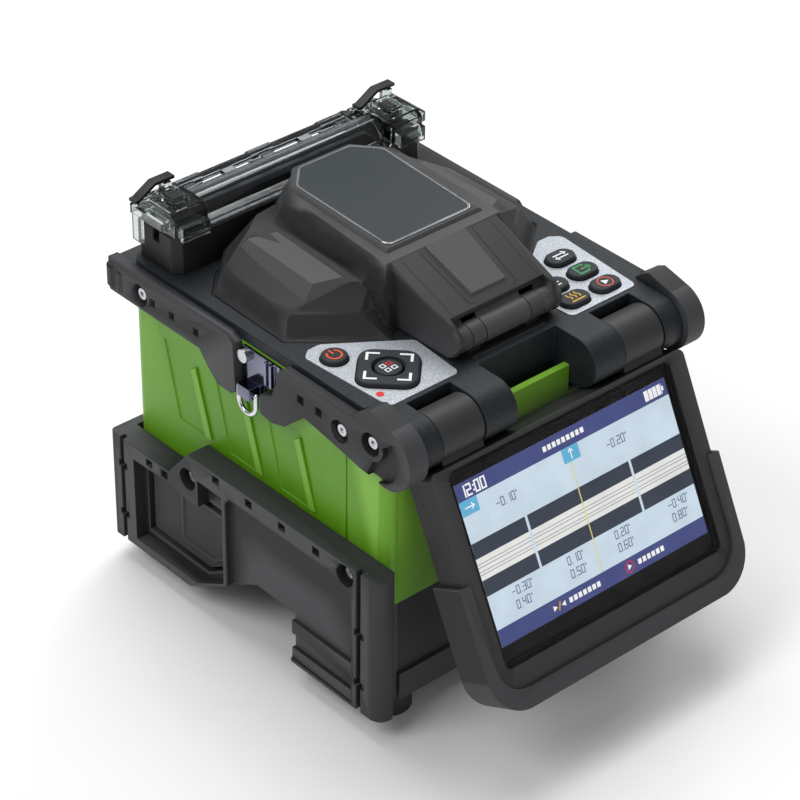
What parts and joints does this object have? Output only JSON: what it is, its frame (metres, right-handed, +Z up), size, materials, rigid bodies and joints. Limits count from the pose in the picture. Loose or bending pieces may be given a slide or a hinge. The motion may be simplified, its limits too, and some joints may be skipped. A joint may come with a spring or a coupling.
{
  "type": "fiber fusion splicer",
  "caption": "Portable fibre fusion splicer with a tilting screen, hinged wind cover, sleeve heater, keypads and slide-out battery.",
  "frame": {"origin": "centre of the bounding box in plan, at the plane of the rubber feet, with the screen at its working tilt", "axes": "+X to the user's right, +Y from the screen to the heater at the rear, +Z up"},
  "size_m": [0.143, 0.1951, 0.1505],
  "materials": {
    "green_shell": "satin moulded",
    "dark_plastic": "fine grain moulded",
    "deck_plastic": "fine speckle",
    "guard_rubber": "matte moulded",
    "silver_panel": "metallic printed",
    "key_rubber": "satin",
    "red_lens": "lit lens",
    "dark_plate": "smooth printed",
    "bright_trim": "polished",
    "steel": "turned",
    "brass": "turned",
    "clear_plastic": "clear polycarbonate",
    "smoke_plastic": "smoky clear polycarbonate",
    "black_strap": "matte",
    "alloy": "machined",
    "ceramic": "glazed ceramic",
    "screen_glass": "polished",
    "lcd": "lit",
    "circuit_board": "solder masked",
    "black_socket": "moulded"
  },
  "bodies": {
    "case": {"body_shell": "green_shell", "base_tray": "dark_plastic", "cover_bracket": "dark_plastic", "heater_base": "dark_plastic", "top_deck": "deck_plastic", "lower_guard_left": "guard_rubber", "lower_guard_right": "guard_rubber", "rear_guard_left": "guard_rubber", "rear_guard_right": "guard_rubber", "front_guard_left": "guard_rubber", "front_guard_right": "guard_rubber", "rubber_feet": "guard_rubber", "keypad_panel_left": "silver_panel", "keypad_panel_right": "silver_panel", "indicator_leds": "red_lens", "strap_bracket_left": "bright_trim", "strap_bracket_right": "bright_trim", "case_screws": "steel", "screen_hinge_pins": "steel", "cover_hinge_pin": "steel", "heater_hinge_pin": "steel", "electrodes": "steel", "tripod_bush": "brass", "heater_trough": "alloy", "splice_chassis": "alloy", "microscope_tubes": "alloy", "v_groove_block": "ceramic", "electrode_holders": "ceramic", "circuit_boards": "circuit_board", "dc_jack": "black_socket", "usb_port": "black_socket"},
    "screen": {"screen_bezel": "dark_plastic", "screen_glass": "screen_glass", "lcd_panel": "lcd", "screen_back": "dark_plastic", "screen_guard": "guard_rubber"},
    "wind_cover": {"wind_cover": "dark_plastic", "cover_plate": "dark_plate", "cover_trim": "bright_trim"},
    "heater_lid": {"heater_lid": "smoke_plastic"},
    "battery": {"battery_pack": "dark_plastic"},
    "battery_latch": {"battery_latch": "dark_plastic"},
    "heater_clamp_left": {"heater_clamp_left": "clear_plastic", "heater_strap_left": "black_strap"},
    "strap_ring_left": {"strap_ring_left": "bright_trim"},
    "fiber_stage_left": {"fiber_stage_left": "alloy"},
    "sheath_clamp_left": {"sheath_clamp_left": "alloy"},
    "heater_clamp_right": {"heater_clamp_right": "clear_plastic", "heater_strap_right": "black_strap"},
    "strap_ring_right": {"strap_ring_right": "bright_trim"},
    "fiber_stage_right": {"fiber_stage_right": "alloy"},
    "sheath_clamp_right": {"sheath_clamp_right": "alloy"},
    "power_button": {"power_button": "key_rubber"},
    "xy_button": {"xy_button": "key_rubber"},
    "exit_button": {"exit_button": "key_rubber"},
    "start_button": {"start_button": "key_rubber"},
    "menu_button": {"menu_button": "key_rubber"},
    "heat_button": {"heat_button": "key_rubber"},
    "dpad_button": {"dpad_button": "key_rubber"},
    "ok_button": {"ok_button": "key_rubber"}
  },
  "joints": [
    {"name": "screen_tilt", "type": "hinge", "parent": "case", "child": "screen", "pos_m": [0, -0.048, 0.113], "axis": [1, 0, 0], "range_deg": [-90, 13]},
    {"name": "wind_cover_open", "type": "hinge", "parent": "case", "child": "wind_cover", "pos_m": [0, -0.0295, 0.128], "axis": [1, 0, 0], "range_deg": [0, 95]},
    {"name": "heater_lid_open", "type": "hinge", "parent": "case", "child": "heater_lid", "pos_m": [0, 0.09, 0.1396], "axis": [-1, 0, 0], "range_deg": [0, 90]},
    {"name": "battery_slide", "type": "slide", "parent": "case", "child": "battery", "axis": [-1, 0, 0], "range_m": [0, 0.11]},
    {"name": "battery_latch_press", "type": "slide", "parent": "battery", "child": "battery_latch", "axis": [1, 0, 0], "range_m": [0, 0.0015], "stiffness_N_per_m": 800, "springref_m": -0.001},
    {"name": "heater_clamp_left_open", "type": "hinge", "parent": "case", "child": "heater_clamp_left", "pos_m": [-0.051, 0.09, 0.1396], "axis": [-1, 0, 0], "range_deg": [0, 90]},
    {"name": "strap_ring_left_swing", "type": "hinge", "parent": "case", "child": "strap_ring_left", "pos_m": [-0.066, 0.0207, 0.103], "axis": [0, 1, 0], "range_deg": [-5, 80]},
    {"name": "fiber_stage_left_feed", "type": "slide", "parent": "case", "child": "fiber_stage_left", "axis": [1, 0, 0], "range_m": [-0.002, 0.002]},
    {"name": "sheath_clamp_left_open", "type": "hinge", "parent": "fiber_stage_left", "child": "sheath_clamp_left", "pos_m": [-0.023, 0.0386, 0.1136], "axis": [-1, 0, 0], "range_deg": [0, 60]},
    {"name": "heater_clamp_right_open", "type": "hinge", "parent": "case", "child": "heater_clamp_right", "pos_m": [0.0444, 0.09, 0.1396], "axis": [-1, 0, 0], "range_deg": [0, 90]},
    {"name": "strap_ring_right_swing", "type": "hinge", "parent": "case", "child": "strap_ring_right", "pos_m": [0.066, 0.0207, 0.103], "axis": [0, -1, 0], "range_deg": [-5, 80]},
    {"name": "fiber_stage_right_feed", "type": "slide", "parent": "case", "child": "fiber_stage_right", "axis": [1, 0, 0], "range_m": [-0.002, 0.002]},
    {"name": "sheath_clamp_right_open", "type": "hinge", "parent": "fiber_stage_right", "child": "sheath_clamp_right", "pos_m": [0.023, 0.0386, 0.1136], "axis": [-1, 0, 0], "range_deg": [0, 60]},
    {"name": "power_press", "type": "slide", "parent": "case", "child": "power_button", "axis": [0, 0, -1], "range_m": [0, 0.0008], "stiffness_N_per_m": 900, "springref_m": -0.001},
    {"name": "xy_press", "type": "slide", "parent": "case", "child": "xy_button", "axis": [0, 0, -1], "range_m": [0, 0.0008], "stiffness_N_per_m": 900, "springref_m": -0.001},
    {"name": "exit_press", "type": "slide", "parent": "case", "child": "exit_button", "axis": [0, 0, -1], "range_m": [0, 0.0008], "stiffness_N_per_m": 900, "springref_m": -0.001},
    {"name": "start_press", "type": "slide", "parent": "case", "child": "start_button", "axis": [0, 0, -1], "range_m": [0, 0.0008], "stiffness_N_per_m": 900, "springref_m": -0.001},
    {"name": "menu_press", "type": "slide", "parent": "case", "child": "menu_button", "axis": [0, 0, -1], "range_m": [0, 0.0008], "stiffness_N_per_m": 900, "springref_m": -0.001},
    {"name": "heat_press", "type": "slide", "parent": "case", "child": "heat_button", "axis": [0, 0, -1], "range_m": [0, 0.0008], "stiffness_N_per_m": 900, "springref_m": -0.001},
    {"name": "dpad_press", "type": "slide", "parent": "case", "child": "dpad_button", "axis": [0, 0, -1], "range_m": [0, 0.0008], "stiffness_N_per_m": 900, "springref_m": -0.001},
    {"name": "ok_press", "type": "slide", "parent": "case", "child": "ok_button", "axis": [0, 0, -1], "range_m": [0, 0.0008], "stiffness_N_per_m": 900, "springref_m": -0.001}
  ]
}
